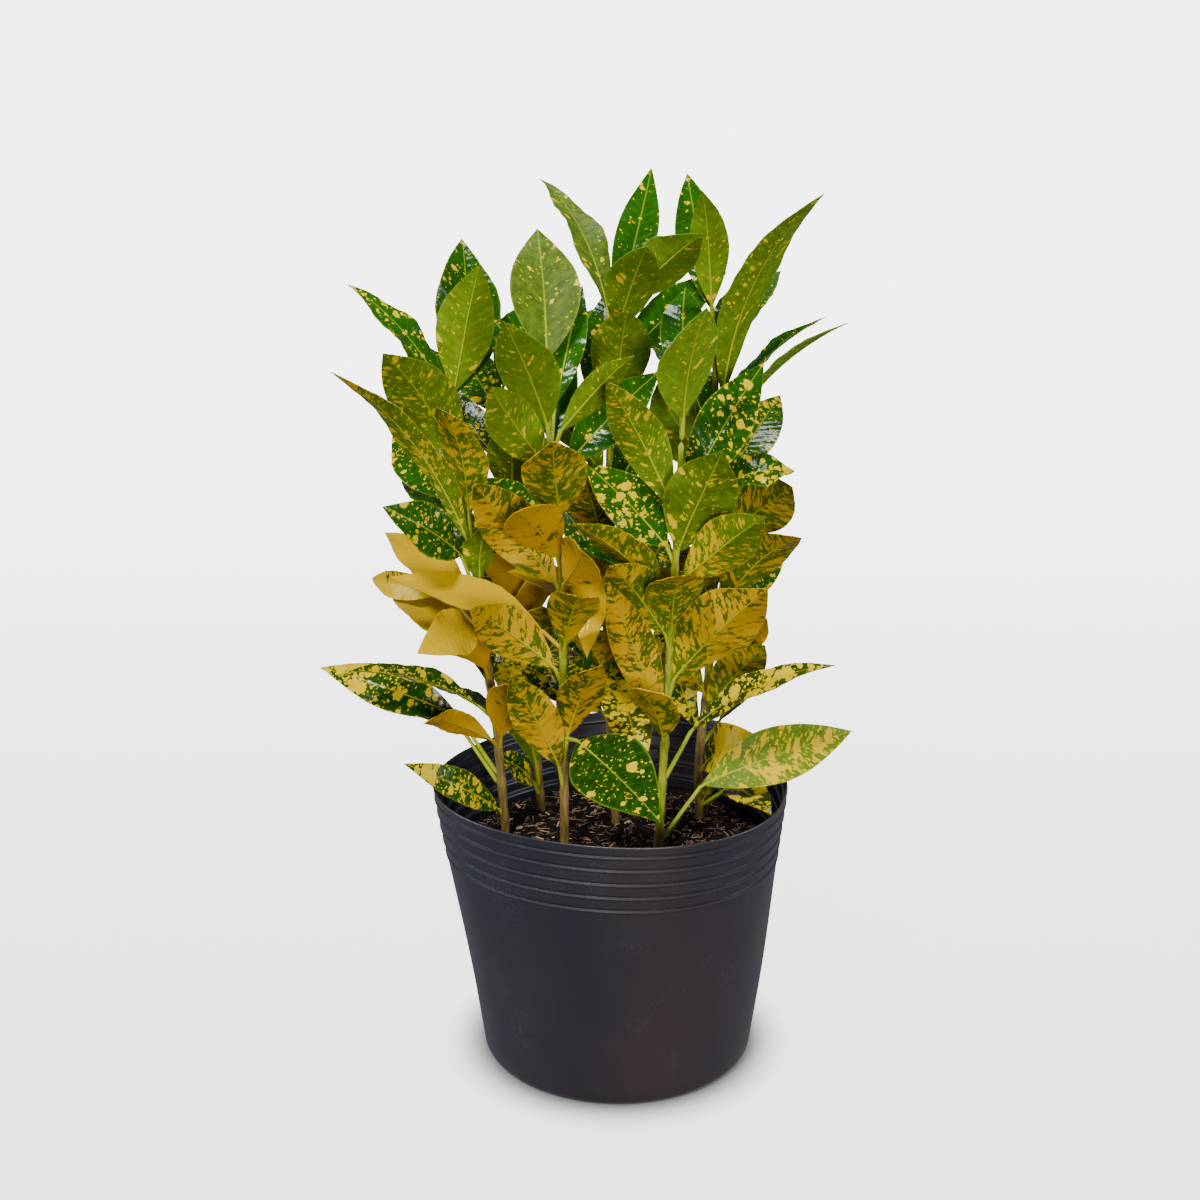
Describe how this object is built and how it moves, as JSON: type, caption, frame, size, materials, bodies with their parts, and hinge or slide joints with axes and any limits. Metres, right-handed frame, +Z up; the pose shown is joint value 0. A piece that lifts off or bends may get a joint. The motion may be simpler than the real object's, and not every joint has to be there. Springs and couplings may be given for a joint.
{
  "type": "potted croton",
  "caption": "Croton in a round black nursery pot: a bushy clump of woody stems with leathery green, olive and golden leaves flecked with yellow.",
  "frame": {"origin": "centre of the pot's underside, on the surface that it stands on", "axes": "+Z up through the pot, -Y towards the plant's front side, +X to the right seen from the front"},
  "size_m": [0.3861, 0.2829, 0.6148],
  "materials": {
    "pot_plastic": "satin",
    "potting_mix": "rough, loose bark and peat",
    "croton_leaf": "waxy, variegated"
  },
  "bodies": {
    "root": {"pot": "pot_plastic", "soil": "potting_mix", "stem_left": "croton_leaf", "stem_front_left": "croton_leaf", "stem_front_right": "croton_leaf", "stem_back_right": "croton_leaf", "stem_back_middle": "croton_leaf", "stem_back_left": "croton_leaf"}
  },
  "joints": []
}
